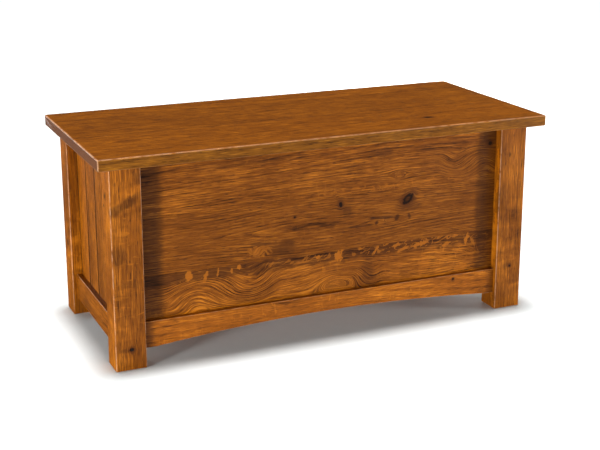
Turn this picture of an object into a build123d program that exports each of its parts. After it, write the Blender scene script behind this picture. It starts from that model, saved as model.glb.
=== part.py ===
from build123d import *
from math import cos, radians, sin
import os

# A low oak storage chest: four posts, an arched front rail, a recessed front panel, V-groove
# sides, a boarded back and floor, and a thick hinged lid.
# Millimetres, +Z up, the front faces -Y. The origin is on the floor under the middle of the lid.

# ---------------------------------------------------------------- driving dimensions
body_width = 1060.0           # outside the posts, left to right
body_depth = 455.0            # outside the posts, front to back
post_width = 72.0
post_depth = 64.0
post_top = 474.5
post_round = 2.5              # rounding of the long edges
foot_gap = 1.0                # the glides hold the feet this far off the floor
foot_bevel = 1.5

lid_gap = 1.5                 # air between the post tops and the lid
lid_thickness = 27.0
lid_front_overhang = 34.0
lid_side_overhang = 32.0
lid_back_overhang = 11.0
lid_round = 3.5
lid_corner_round = 4.0
lid_seams = (-35.0, 152.0)    # y of the glue lines between the lid boards

rail_bottom = 43.0
rail_top = 106.0
rail_thickness = 25.0
rail_recess = 12.0            # front and side rails stand back this far from the post faces
rail_round = 1.5
back_top_rail_height = 62.5   # this rail carries the hinges
arch_half_span = 430.0
arch_rise = 21.0

tenon_length = 25.0
tenon_thickness = 12.0
tenon_shoulder = 9.0          # left above and below each tenon
mortise_play = 1.0            # glue room at the end of a mortise

panel_recess = 24.0
panel_thickness = 19.0
panel_seams = (208.0, 343.0)  # z of the glue lines in the front panel
side_recess = 25.0
back_recess = 4.0
board_thickness = 16.0        # side and back boards
side_board_count = 4
back_board_count = 3
groove_depth = 10.0           # grooves in the posts for the panel ends
groove_entry = 9.0            # how far the boards reach into them
rail_tongue_thickness = 6.0   # tongue under a panel, in the groove of the rail below it
rail_tongue_length = 8.0
edge_tongue_thickness = 4.0   # tongue from one board into the next
edge_tongue_length = 6.0
tongue_play = 0.5
vee_size = 3.0

floor_board_count = 6
floor_thickness = 12.0
floor_top = 96.0
floor_play = 1.0
ledger_size = 20.0
end_play = 0.5
cleat_bevel = 1.0
top_cleat_depth = 22.0
top_cleat_height = 38.0
top_cleat_drop = 4.5          # below the post tops

batten_width = 45.0
batten_thickness = 18.0
batten_positions = {"left": -300.0, "right": 300.0}
batten_span = (-135.0, 190.0)
batten_bevel = 6.0
batten_screw_places = (-115.0, -60.0, 60.0, 172.0)

hinge_positions = {"left": -360.0, "middle": 0.0, "right": 360.0}
hinge_length = 76.0
knuckle_count = 5
knuckle_radius = 4.5
knuckle_gap = 0.2             # air between neighbouring knuckles
leaf_thickness = 1.6
leaf_inset = 1.3              # depth of the lid leaf in the lid
leaf_reach = 40.0             # from the pin's axis to the far edge of a leaf
leaf_corner = 4.0
hinge_pin_radius = 1.75
running_clearance = 0.05
pin_head_radius = 3.0
pin_head_length = 1.0
barrel_room = 0.5             # air round the barrel
stop_reach = 6.2              # the lug that stops the lid just past upright
stop_width = 2.0
stop_angle = -11.0            # of the lug about the axis, from +Y towards +Z, lid closed

hinge_screw = {"length": 16.0, "radius": 1.8, "head_radius": 3.4}
wood_screw = {"length": 32.0, "radius": 2.0, "head_radius": 4.0}
hinge_screw_spacing = 26.0
hinge_screw_rows = (15.0, 31.0)   # from the pin's axis, outer screws and middle screw
screw_play = 0.05

tenon_pin_radius = 3.0
tenon_pin_length = 56.0
tenon_pin_inset = 12.0        # from the shoulder of the tenon
front_pin_z = 68.0
side_pin_z = 86.0
bumper_radius = 5.0
bumper_height = 1.3
glide_radius = 12.0
glide_thickness = 4.0
glide_play = 0.1

# ---------------------------------------------------------------- places worked out from them
lid_width = body_width + 2 * lid_side_overhang
lid_depth = body_depth + lid_front_overhang + lid_back_overhang
lid_bottom = post_top + lid_gap
lid_top = lid_bottom + lid_thickness
front_face = -lid_depth / 2 + lid_front_overhang
back_face = lid_depth / 2 - lid_back_overhang
side_face = body_width / 2
inner_x = side_face - post_width
inner_front = front_face + post_depth
inner_back = back_face - post_depth
inner_depth = inner_back - inner_front
post_x = side_face - post_width / 2
post_y = {"front": (front_face + inner_front) / 2, "back": (inner_back + back_face) / 2}

tenon_z = (rail_bottom + tenon_shoulder, rail_top - tenon_shoulder)
back_top_rail_z = (post_top - back_top_rail_height, post_top)
back_top_tenon_z = (back_top_rail_z[0] + tenon_shoulder, back_top_rail_z[1] - tenon_shoulder)
tongue_bottom = rail_top - rail_tongue_length
rail_groove_bottom = tongue_bottom - tongue_play

front_rail_y = (front_face + rail_recess, front_face + rail_recess + rail_thickness)
side_rail_x = (side_face - rail_recess - rail_thickness, side_face - rail_recess)
back_rail_y = (back_face - rail_thickness, back_face)
panel_y = (front_face + panel_recess, front_face + panel_recess + panel_thickness)
side_board_x = (side_face - side_recess - board_thickness, side_face - side_recess)
back_board_y = (back_face - back_recess - board_thickness, back_face - back_recess)
panel_reach = inner_x + groove_entry

ledger_z = (floor_top - floor_thickness - ledger_size, floor_top - floor_thickness)
top_cleat_z = (post_top - top_cleat_drop - top_cleat_height, post_top - top_cleat_drop)
cleat_reach = inner_x - end_play
side_cleat_y = (inner_front + end_play, inner_back - end_play)

hinge_y = back_face + knuckle_radius
hinge_z = lid_bottom + leaf_inset - knuckle_radius
knuckle_pitch = hinge_length / knuckle_count
frame_knuckles = range(0, knuckle_count, 2)
lid_knuckles = range(1, knuckle_count, 2)
lid_leaf_bottom = lid_bottom + leaf_inset - leaf_thickness

long_screw_places = [-400.0, -200.0, 0.0, 200.0, 400.0]
side_board_pitch = inner_depth / side_board_count
side_board_middles = [inner_front + (i + 0.5) * side_board_pitch for i in range(side_board_count)]

os.makedirs("parts", exist_ok=True)


# ---------------------------------------------------------------- helpers
def block(x_range, y_range, z_range, mode=Mode.ADD):
    """A box between two opposite corners, in the builder that is open."""
    ranges = (sorted(x_range), sorted(y_range), sorted(z_range))
    with Locations(tuple(low for low, high in ranges)):
        Box(*[high - low for low, high in ranges], align=(Align.MIN,) * 3, mode=mode)


def middle(span):
    return (span[0] + span[1]) / 2


def around(centre, width):
    return (centre - width / 2, centre + width / 2)


def on_side(side, span):
    """A right-hand x range, or its mirror image when side is -1."""
    return tuple(side * x for x in span)


def save(name, piece):
    piece.part.label = name
    export_step(piece.part, f"parts/{name}.step")


def screw_points(length, radius, head_radius, play=0.0):
    """Half of a countersunk screw's section, head face up, point down."""
    return [
        (0, 0),
        (head_radius + play, 0),
        (radius + play, radius - head_radius),
        (radius + play, 2 * radius - length),
        (0, -length - play),
    ]


def screw_solid(sizes, play=0.0):
    """A cross-head screw with its head face at the origin, or with play, its hole."""
    slot = 0.35 * sizes["head_radius"]
    with BuildPart() as solid:
        with BuildSketch(Plane.XZ):
            with BuildLine():
                Polyline(*screw_points(**sizes, play=play), close=True)
            make_face()
        revolve(axis=Axis.Z)
        if not play:
            with BuildSketch(Plane.XY):
                Rectangle(4 * slot, slot)
                Rectangle(slot, 4 * slot)
            extrude(amount=-1.5 * slot, mode=Mode.SUBTRACT)
    return solid.part


def screw_group(name, sizes, planes):
    """Identical screws as one node, each head face up in its own plane."""
    blank = screw_solid(sizes)
    with BuildPart() as group:
        with Locations(*planes):
            add(blank)
    save(name, group)


def cut_screw_holes(hole, planes):
    with Locations(*planes):
        add(hole, mode=Mode.SUBTRACT)


def board_points(span, thickness, grooved=True, tongued=True, vee=0.0):
    """A board's section: face along local y = 0, groove at the low edge, tongue at the high."""
    low, high = span
    near = (thickness - edge_tongue_thickness) / 2
    far = near + edge_tongue_thickness
    vee_low = vee if grooved else 0.0
    vee_high = vee if tongued else 0.0
    points = [(low, vee_low), (low + vee_low, 0), (high - vee_high, 0), (high, vee_high)]
    if tongued:
        tip = high + edge_tongue_length
        points += [(high, near), (tip, near), (tip, far), (high, far)]
    points += [(high, thickness), (low, thickness)]
    if grooved:
        root = low + edge_tongue_length + tongue_play
        points += [(low, far), (root, far), (root, near), (low, near)]
    return [point for i, point in enumerate(points) if point != points[i - 1]]


wood_screw_hole = screw_solid(wood_screw, screw_play)
hinge_screw_hole = screw_solid(hinge_screw, screw_play)


# ---------------------------------------------------------------- fastener places
def facing(x, y, z, direction):
    """A plane for a screw or pin: its head faces the direction, its point goes the other way."""
    return Plane(origin=(x, y, z), z_dir=direction)


def tenon_pin_planes():
    """Every pin that locks a tenon, driven from an inner face of a post."""
    planes = []
    for side in (-1, 1):
        x = side * (inner_x + tenon_pin_inset)
        planes.append(facing(x, inner_front, front_pin_z, (0, 1, 0)))
        for z in (front_pin_z, middle(back_top_tenon_z)):
            planes.append(facing(x, inner_back, z, (0, -1, 0)))
        for y in (inner_front - tenon_pin_inset, inner_back + tenon_pin_inset):
            planes.append(facing(side * inner_x, y, side_pin_z, (-side, 0, 0)))
    return planes


def cut_tenon_pin_holes():
    with Locations(*tenon_pin_planes()):
        Cylinder(
            tenon_pin_radius + screw_play,
            tenon_pin_length + screw_play,
            align=(Align.CENTER, Align.CENTER, Align.MAX),
            mode=Mode.SUBTRACT,
        )


ledger_mid = middle(ledger_z)
front_ledger_y = (front_rail_y[1], front_rail_y[1] + ledger_size)
back_ledger_y = (back_rail_y[0] - ledger_size, back_rail_y[0])
side_ledger_x = (side_rail_x[0] - ledger_size, side_rail_x[0])
front_cleat_y = (panel_y[1], panel_y[1] + top_cleat_depth)
side_cleat_x = (side_board_x[0] - top_cleat_depth, side_board_x[0])
cleat_mid = middle(top_cleat_z)

ledger_screws = [facing(x, front_ledger_y[1], ledger_mid, (0, 1, 0)) for x in long_screw_places]
ledger_screws += [facing(x, back_ledger_y[0], ledger_mid, (0, -1, 0)) for x in long_screw_places]
cleat_screws = [facing(x, front_cleat_y[1], cleat_mid, (0, 1, 0)) for x in long_screw_places]
for side in (-1, 1):
    inward = (-side, 0, 0)
    for y in (side_board_middles[0], middle(side_cleat_y), side_board_middles[-1]):
        ledger_screws.append(facing(side * side_ledger_x[0], y, ledger_mid, inward))
    for y in side_board_middles:
        cleat_screws.append(facing(side * side_cleat_x[0], y, cleat_mid, inward))

batten_screws = [
    facing(x, y, lid_bottom - batten_thickness, (0, 0, -1))
    for x in batten_positions.values()
    for y in batten_screw_places
]

hinge_frame_screws = []
hinge_lid_screws = []
for x in hinge_positions.values():
    for step in (-1, 0, 1):
        reach = hinge_screw_rows[1] if step == 0 else hinge_screw_rows[0]
        screw_x = x + step * hinge_screw_spacing
        leaf_back = back_face + leaf_thickness
        hinge_frame_screws.append(facing(screw_x, leaf_back, hinge_z - reach, (0, 1, 0)))
        hinge_lid_screws.append(facing(screw_x, hinge_y - reach, lid_leaf_bottom, (0, 0, -1)))


# ---------------------------------------------------------------- posts
def make_post(name, side, end):
    """A corner post with its mortises and grooves; end is front or back."""
    toward_middle = 1 if end == "front" else -1
    inner_y = inner_front if end == "front" else inner_back
    panel = panel_y if end == "front" else back_board_y
    rail_y = front_rail_y if end == "front" else back_rail_y
    groove_top = post_top if end == "front" else back_top_tenon_z[0]
    mortise_depth = tenon_length + mortise_play
    mortises = [tenon_z] if end == "front" else [tenon_z, back_top_tenon_z]
    with BuildPart() as post:
        with BuildSketch(Plane.XY.offset(foot_gap)):
            with Locations((side * post_x, post_y[end])):
                Rectangle(post_width, post_depth)
        extrude(amount=post_top - foot_gap)
        fillet(post.edges().filter_by(Axis.Z), post_round)
        chamfer(post.faces().sort_by(Axis.Z)[0].edges(), foot_bevel)
        into_x = on_side(side, (inner_x, inner_x + mortise_depth))
        for z_range in mortises:
            tenon_y = around(middle(rail_y), tenon_thickness)
            block(into_x, tenon_y, z_range, Mode.SUBTRACT)
        groove_x = on_side(side, (inner_x, inner_x + groove_depth))
        block(groove_x, panel, (tongue_bottom, groove_top), Mode.SUBTRACT)
        tenon_x = on_side(side, around(middle(side_rail_x), tenon_thickness))
        into_y = (inner_y, inner_y - toward_middle * mortise_depth)
        block(tenon_x, into_y, tenon_z, Mode.SUBTRACT)
        groove_y = (inner_y, inner_y - toward_middle * groove_depth)
        block(on_side(side, side_board_x), groove_y, (tongue_bottom, post_top), Mode.SUBTRACT)
        cut_tenon_pin_holes()
        with Locations((side * post_x, post_y[end], foot_gap)):
            Cylinder(
                glide_radius + glide_play,
                glide_thickness - foot_gap,
                align=(Align.CENTER, Align.CENTER, Align.MIN),
                mode=Mode.SUBTRACT,
            )
    save(name, post)


for end in ("front", "back"):
    for hand, side in (("left", -1), ("right", 1)):
        make_post(f"{end}_{hand}_post", side, end)


# ---------------------------------------------------------------- rails
def long_tenons(rail_y, z_range):
    """The tenons at both ends of a rail that runs left to right."""
    for side in (-1, 1):
        tenon_x = on_side(side, (inner_x, inner_x + tenon_length))
        block(tenon_x, around(middle(rail_y), tenon_thickness), z_range)


with BuildPart() as front_rail:
    with BuildSketch(Plane.XZ.offset(-front_rail_y[0])):
        with BuildLine():
            Polyline(
                (-arch_half_span, rail_bottom),
                (-inner_x, rail_bottom),
                (-inner_x, rail_top),
                (inner_x, rail_top),
                (inner_x, rail_bottom),
                (arch_half_span, rail_bottom),
            )
            ThreePointArc(
                (arch_half_span, rail_bottom),
                (0, rail_bottom + arch_rise),
                (-arch_half_span, rail_bottom),
            )
        make_face()
    extrude(amount=-rail_thickness)
    show_face = front_rail.faces().sort_by(Axis.Y)[0]
    fillet(show_face.edges().filter_by(Axis.Z, reverse=True), rail_round)
    long_tenons(front_rail_y, tenon_z)
    tongue_y = (panel_y[0], panel_y[0] + rail_tongue_thickness)
    block((-inner_x, inner_x), tongue_y, (rail_groove_bottom, rail_top), Mode.SUBTRACT)
    cut_tenon_pin_holes()
    cut_screw_holes(wood_screw_hole, ledger_screws)
save("front_arched_rail", front_rail)

for hand, side in (("left", -1), ("right", 1)):
    with BuildPart() as side_rail:
        block(on_side(side, side_rail_x), (inner_front, inner_back), (rail_bottom, rail_top))
        show_face = side_rail.faces().sort_by(Axis.X)[-1 if side > 0 else 0]
        fillet(show_face.edges().filter_by(Axis.Y), rail_round)
        tenon_y = (inner_front - tenon_length, inner_back + tenon_length)
        block(on_side(side, around(middle(side_rail_x), tenon_thickness)), tenon_y, tenon_z)
        tongue_x = on_side(side, (side_board_x[1] - rail_tongue_thickness, side_board_x[1]))
        groove_z = (rail_groove_bottom, rail_top)
        block(tongue_x, (inner_front, inner_back), groove_z, Mode.SUBTRACT)
        cut_tenon_pin_holes()
        cut_screw_holes(wood_screw_hole, ledger_screws)
    save(f"{hand}_bottom_rail", side_rail)

back_tongue_y = around(middle(back_board_y), rail_tongue_thickness)

with BuildPart() as back_bottom_rail:
    block((-inner_x, inner_x), back_rail_y, (rail_bottom, rail_top))
    show_face = back_bottom_rail.faces().sort_by(Axis.Y)[-1]
    fillet(show_face.edges().filter_by(Axis.X), rail_round)
    long_tenons(back_rail_y, tenon_z)
    block((-inner_x, inner_x), back_tongue_y, (rail_groove_bottom, rail_top), Mode.SUBTRACT)
    cut_tenon_pin_holes()
    cut_screw_holes(wood_screw_hole, ledger_screws)
save("back_bottom_rail", back_bottom_rail)

with BuildPart() as back_top_rail:
    block((-inner_x, inner_x), back_rail_y, back_top_rail_z)
    show_face = back_top_rail.faces().sort_by(Axis.Y)[-1]
    fillet(show_face.edges().filter_by(Axis.X), rail_round)
    long_tenons(back_rail_y, back_top_tenon_z)
    groove_z = (back_top_rail_z[0], back_top_rail_z[0] + rail_tongue_length + tongue_play)
    block((-inner_x, inner_x), back_tongue_y, groove_z, Mode.SUBTRACT)
    cut_tenon_pin_holes()
    cut_screw_holes(hinge_screw_hole, hinge_frame_screws)
save("back_top_rail", back_top_rail)

# ---------------------------------------------------------------- front panel
panel_edges = (rail_top, *panel_seams, post_top)
for i, name in enumerate(("bottom", "middle", "top")):
    with BuildPart() as panel_board:
        block((-panel_reach, panel_reach), panel_y, panel_edges[i:i + 2])
        if name == "bottom":
            tongue_y = (panel_y[0], panel_y[0] + rail_tongue_thickness)
            block((-panel_reach, panel_reach), tongue_y, (tongue_bottom, rail_top))
        if name == "top":
            cut_screw_holes(wood_screw_hole, cleat_screws)
    save(f"front_panel_{name}_board", panel_board)


# ---------------------------------------------------------------- tongue-and-groove boards
def board_spans(start, total, count, entry):
    """Equal boards edge to edge; the first and last reach further by the entry."""
    pitch = total / count
    spans = [(start + i * pitch, start + (i + 1) * pitch) for i in range(count)]
    spans[0] = (spans[0][0] - entry, spans[0][1])
    spans[-1] = (spans[-1][0], spans[-1][1] + entry)
    return spans


side_spans = board_spans(0, inner_depth, side_board_count, groove_entry)
for hand, side in (("left", -1), ("right", 1)):
    start_y = inner_front if side > 0 else inner_back
    corner = (side * side_board_x[1], start_y, tongue_bottom)
    section = Plane(origin=corner, x_dir=(0, side, 0), z_dir=(0, 0, 1))
    behind_tongue = on_side(side, (side_board_x[0], side_board_x[1] - rail_tongue_thickness))
    for i, span in enumerate(side_spans):
        with BuildPart() as side_board:
            with BuildSketch(section):
                with BuildLine():
                    tongued = i < side_board_count - 1
                    outline = board_points(span, board_thickness, i > 0, tongued, vee_size)
                    Polyline(*outline, close=True)
                make_face()
            extrude(amount=post_top - tongue_bottom)
            board_y = (inner_front - groove_depth, inner_back + groove_depth)
            block(behind_tongue, board_y, (tongue_bottom, rail_top), Mode.SUBTRACT)
            cut_screw_holes(wood_screw_hole, cleat_screws)
        number = i + 1 if side > 0 else side_board_count - i
        save(f"{hand}_side_board_{number}", side_board)

back_height = back_top_rail_z[0] - rail_top
back_spans = board_spans(0, back_height, back_board_count, 0)
back_section = Plane(
    origin=(-panel_reach, back_board_y[1], rail_top), x_dir=(0, 0, 1), z_dir=(1, 0, 0)
)
for i, span in enumerate(back_spans):
    with BuildPart() as back_board:
        with BuildSketch(back_section):
            with BuildLine():
                tongued = i < back_board_count - 1
                outline = board_points(span, board_thickness, i > 0, tongued, vee_size)
                Polyline(*outline, close=True)
            make_face()
        extrude(amount=2 * panel_reach)
        reach_x = (-panel_reach, panel_reach)
        if i == 0:
            block(reach_x, back_tongue_y, (tongue_bottom, rail_top))
        if i == back_board_count - 1:
            tongue_top = back_top_rail_z[0] + rail_tongue_length
            block(reach_x, back_tongue_y, (back_top_rail_z[0], tongue_top))
    save(f"back_board_{i + 1}", back_board)

floor_x = side_rail_x[0] - floor_play
floor_y = (front_rail_y[1] + end_play, back_rail_y[0] - end_play)
floor_notches = ((front_face, inner_front + floor_play), (inner_back - floor_play, back_face))
floor_spans = board_spans(-floor_x, 2 * floor_x, floor_board_count, 0)
floor_section = Plane(origin=(0, floor_y[0], floor_top), x_dir=(1, 0, 0), z_dir=(0, 1, 0))
for i, span in enumerate(floor_spans):
    with BuildPart() as floor_board:
        with BuildSketch(floor_section):
            with BuildLine():
                outline = board_points(span, floor_thickness, i > 0, i < floor_board_count - 1)
                Polyline(*outline, close=True)
            make_face()
        extrude(amount=floor_y[1] - floor_y[0])
        for side in (-1, 1):
            for notch_y in floor_notches:
                notch_x = on_side(side, (inner_x - floor_play, side_face))
                notch_z = (floor_top - floor_thickness, floor_top)
                block(notch_x, notch_y, notch_z, Mode.SUBTRACT)
    save(f"floor_board_{i + 1}", floor_board)


# ---------------------------------------------------------------- ledgers and cleats
def make_cleat(name, x_range, y_range, z_range, screws):
    with BuildPart() as cleat:
        block(x_range, y_range, z_range)
        chamfer(cleat.edges().filter_by(Axis.Z), cleat_bevel)
        cut_screw_holes(wood_screw_hole, screws)
    save(name, cleat)


reach_x = (-cleat_reach, cleat_reach)
make_cleat("front_floor_ledger", reach_x, front_ledger_y, ledger_z, ledger_screws)
make_cleat("back_floor_ledger", reach_x, back_ledger_y, ledger_z, ledger_screws)
make_cleat("front_top_cleat", reach_x, front_cleat_y, top_cleat_z, cleat_screws)
for hand, side in (("left", -1), ("right", 1)):
    ledger_x = on_side(side, side_ledger_x)
    cleat_x = on_side(side, side_cleat_x)
    make_cleat(f"{hand}_floor_ledger", ledger_x, side_cleat_y, ledger_z, ledger_screws)
    make_cleat(f"{hand}_top_cleat", cleat_x, side_cleat_y, top_cleat_z, cleat_screws)
screw_group("ledger_screws", wood_screw, ledger_screws)
screw_group("cleat_screws", wood_screw, cleat_screws)

# ---------------------------------------------------------------- lid
lid_edges = (-lid_depth / 2, *lid_seams, lid_depth / 2)
for i, name in enumerate(("front", "middle", "back")):
    with BuildPart() as lid_board:
        with BuildSketch(Plane.XY.offset(lid_bottom)):
            RectangleRounded(lid_width, lid_depth, lid_corner_round)
        extrude(amount=lid_thickness)
        fillet(lid_board.faces().filter_by(Axis.Z).edges(), lid_round)
        lid_x = (-lid_width / 2, lid_width / 2)
        block(lid_x, lid_edges[i:i + 2], (lid_bottom, lid_top), Mode.INTERSECT)
        if name == "back":
            for x in hinge_positions.values():
                leaf_y = (hinge_y - leaf_reach, lid_depth / 2)
                inset_z = (lid_bottom, lid_bottom + leaf_inset)
                block(around(x, hinge_length), leaf_y, inset_z, Mode.SUBTRACT)
                barrel_y = (hinge_y - knuckle_radius - barrel_room, lid_depth / 2)
                barrel_x = around(x, hinge_length + 2 * (pin_head_length + barrel_room))
                barrel_z = (lid_bottom, hinge_z + knuckle_radius + barrel_room)
                block(barrel_x, barrel_y, barrel_z, Mode.SUBTRACT)
            cut_screw_holes(hinge_screw_hole, hinge_lid_screws)
        cut_screw_holes(wood_screw_hole, batten_screws)
    save(f"lid_{name}_board", lid_board)

for hand, x in batten_positions.items():
    with BuildPart() as batten:
        batten_z = (lid_bottom - batten_thickness, lid_bottom)
        block(around(x, batten_width), batten_span, batten_z)
        chamfer(batten.faces().sort_by(Axis.Z)[0].edges(), batten_bevel)
        cut_screw_holes(wood_screw_hole, batten_screws)
    save(f"lid_{hand}_batten", batten)
screw_group("batten_screws", wood_screw, batten_screws)


# ---------------------------------------------------------------- hinges
def rod(x_range, radius, mode=Mode.ADD):
    """A round bar on the hinge axis."""
    with Locations(Plane(origin=(x_range[0], hinge_y, hinge_z), z_dir=(1, 0, 0))):
        Cylinder(
            radius,
            x_range[1] - x_range[0],
            align=(Align.CENTER, Align.CENTER, Align.MIN),
            mode=mode,
        )


def knuckle_span(hinge_x, index, gap):
    start = hinge_x - hinge_length / 2 + index * knuckle_pitch
    return (start + gap / 2, start + knuckle_pitch - gap / 2)


barrel_clear = knuckle_radius + barrel_room
lug_angle = radians(stop_angle)
lug_centre = (hinge_y + stop_reach / 2 * cos(lug_angle), hinge_z + stop_reach / 2 * sin(lug_angle))
for place, x in hinge_positions.items():
    whole = around(x, hinge_length)
    with BuildPart() as frame_leaf:
        leaf_y = (back_face, back_face + leaf_thickness)
        block(whole, leaf_y, (hinge_z - leaf_reach, hinge_z))
        fillet(frame_leaf.edges().filter_by(Axis.Y).group_by(Axis.Z)[0], leaf_corner)
        for index in lid_knuckles:
            room_z = (hinge_z - barrel_clear, hinge_z)
            block(knuckle_span(x, index, 0), leaf_y, room_z, Mode.SUBTRACT)
        for index in frame_knuckles:
            rod(knuckle_span(x, index, knuckle_gap), knuckle_radius)
        rod(whole, hinge_pin_radius + running_clearance, Mode.SUBTRACT)
        cut_screw_holes(hinge_screw_hole, hinge_frame_screws)
    save(f"{place}_hinge_frame_leaf", frame_leaf)

    with BuildPart() as lid_leaf:
        leaf_z = (lid_leaf_bottom, lid_leaf_bottom + leaf_thickness)
        block(whole, (hinge_y - leaf_reach, hinge_y), leaf_z)
        fillet(lid_leaf.edges().filter_by(Axis.Z).group_by(Axis.Y)[0], leaf_corner)
        for index in frame_knuckles:
            room_y = (hinge_y - barrel_clear, hinge_y)
            block(knuckle_span(x, index, 0), room_y, leaf_z, Mode.SUBTRACT)
        for index in lid_knuckles:
            lid_span = knuckle_span(x, index, knuckle_gap)
            rod(lid_span, knuckle_radius)
            with BuildSketch(Plane.YZ.offset(lid_span[0])):
                with Locations(Location(lug_centre, stop_angle)):
                    Rectangle(stop_reach, stop_width)
            extrude(amount=knuckle_pitch - knuckle_gap)
        rod(whole, hinge_pin_radius + running_clearance, Mode.SUBTRACT)
        cut_screw_holes(hinge_screw_hole, hinge_lid_screws)
    save(f"{place}_hinge_lid_leaf", lid_leaf)

    with BuildPart() as hinge_pin:
        rod(around(x, hinge_length + 2 * pin_head_length), hinge_pin_radius)
        rod((whole[0] - pin_head_length, whole[0]), pin_head_radius)
        rod((whole[1], whole[1] + pin_head_length), pin_head_radius)
    save(f"{place}_hinge_pin", hinge_pin)

screw_group("hinge_frame_screws", hinge_screw, hinge_frame_screws)
screw_group("hinge_lid_screws", hinge_screw, hinge_lid_screws)

# ---------------------------------------------------------------- pins, bumpers and glides
with BuildPart() as tenon_pins:
    with Locations(*tenon_pin_planes()):
        Cylinder(
            tenon_pin_radius,
            tenon_pin_length,
            align=(Align.CENTER, Align.CENTER, Align.MAX),
        )
save("tenon_pins", tenon_pins)

post_places = [(side * post_x, y) for side in (-1, 1) for y in post_y.values()]

with BuildPart() as lid_bumpers:
    with BuildSketch(Plane.XY.offset(post_top)):
        with Locations(*post_places):
            Circle(bumper_radius)
    extrude(amount=bumper_height)
    chamfer(lid_bumpers.faces().filter_by(Axis.Z).group_by(Axis.Z)[-1].edges(), bumper_height / 3)
save("lid_bumpers", lid_bumpers)

with BuildPart() as foot_glides:
    with BuildSketch():
        with Locations(*post_places):
            Circle(glide_radius)
    extrude(amount=glide_thickness)
save("foot_glides", foot_glides)
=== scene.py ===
import math

import bmesh
import bpy
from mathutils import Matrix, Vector, noise


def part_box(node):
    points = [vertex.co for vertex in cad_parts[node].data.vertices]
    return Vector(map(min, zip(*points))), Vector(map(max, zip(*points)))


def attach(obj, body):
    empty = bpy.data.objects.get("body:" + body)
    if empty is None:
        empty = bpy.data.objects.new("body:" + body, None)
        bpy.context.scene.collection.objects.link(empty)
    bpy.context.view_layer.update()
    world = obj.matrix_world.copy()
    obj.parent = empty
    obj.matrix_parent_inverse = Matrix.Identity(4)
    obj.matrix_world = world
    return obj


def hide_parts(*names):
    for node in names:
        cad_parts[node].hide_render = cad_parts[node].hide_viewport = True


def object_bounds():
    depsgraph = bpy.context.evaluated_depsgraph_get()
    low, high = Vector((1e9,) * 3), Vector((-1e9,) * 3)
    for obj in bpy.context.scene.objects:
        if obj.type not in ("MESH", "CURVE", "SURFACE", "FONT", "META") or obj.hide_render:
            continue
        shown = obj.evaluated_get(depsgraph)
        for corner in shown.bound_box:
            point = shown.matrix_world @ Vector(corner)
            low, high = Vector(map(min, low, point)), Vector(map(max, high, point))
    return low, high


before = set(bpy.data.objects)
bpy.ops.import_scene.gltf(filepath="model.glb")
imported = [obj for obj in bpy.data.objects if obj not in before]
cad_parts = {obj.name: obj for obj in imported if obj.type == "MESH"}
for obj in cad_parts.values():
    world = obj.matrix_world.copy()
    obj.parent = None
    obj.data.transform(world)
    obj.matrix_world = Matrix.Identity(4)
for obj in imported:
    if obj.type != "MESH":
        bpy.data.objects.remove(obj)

# A low oak chest. Metres, +Z up, the front faces -Y, as in the frame.
# Every board on the outside is a lofted mesh with eased edges, and its material is a solid block
# of oak: growth rings round a pith give its faces, edges and end grain patterns that agree.

MM = 0.001
X, Y, Z = 0, 1, 2
cad_low, cad_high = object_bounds()


# -------------------------------- camera
CAMERA_PLACE = (-1.193, -2.759, 1.153)
CAMERA_DROP = 15.32     # degrees below level
CAMERA_TURN = -23.61    # degrees from straight ahead
LENS = 75.19
LENS_SHIFT = -0.07


def make_camera():
    camera = bpy.data.objects.new("camera", bpy.data.cameras.new("camera"))
    bpy.context.scene.collection.objects.link(camera)
    camera.location = CAMERA_PLACE
    camera.rotation_euler = (math.radians(90 - CAMERA_DROP), 0, math.radians(CAMERA_TURN))
    camera.data.lens = LENS
    camera.data.shift_y = LENS_SHIFT
    camera.data.dof.use_dof = False
    bpy.context.scene.camera = camera


make_camera()


# -------------------------------- node tree helper
# A mix node has a socket of each name for every kind of data, so its colour ones go by number.
MIX_FACTOR, MIX_A, MIX_B, MIX_RESULT = 0, 6, 7, 2


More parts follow.
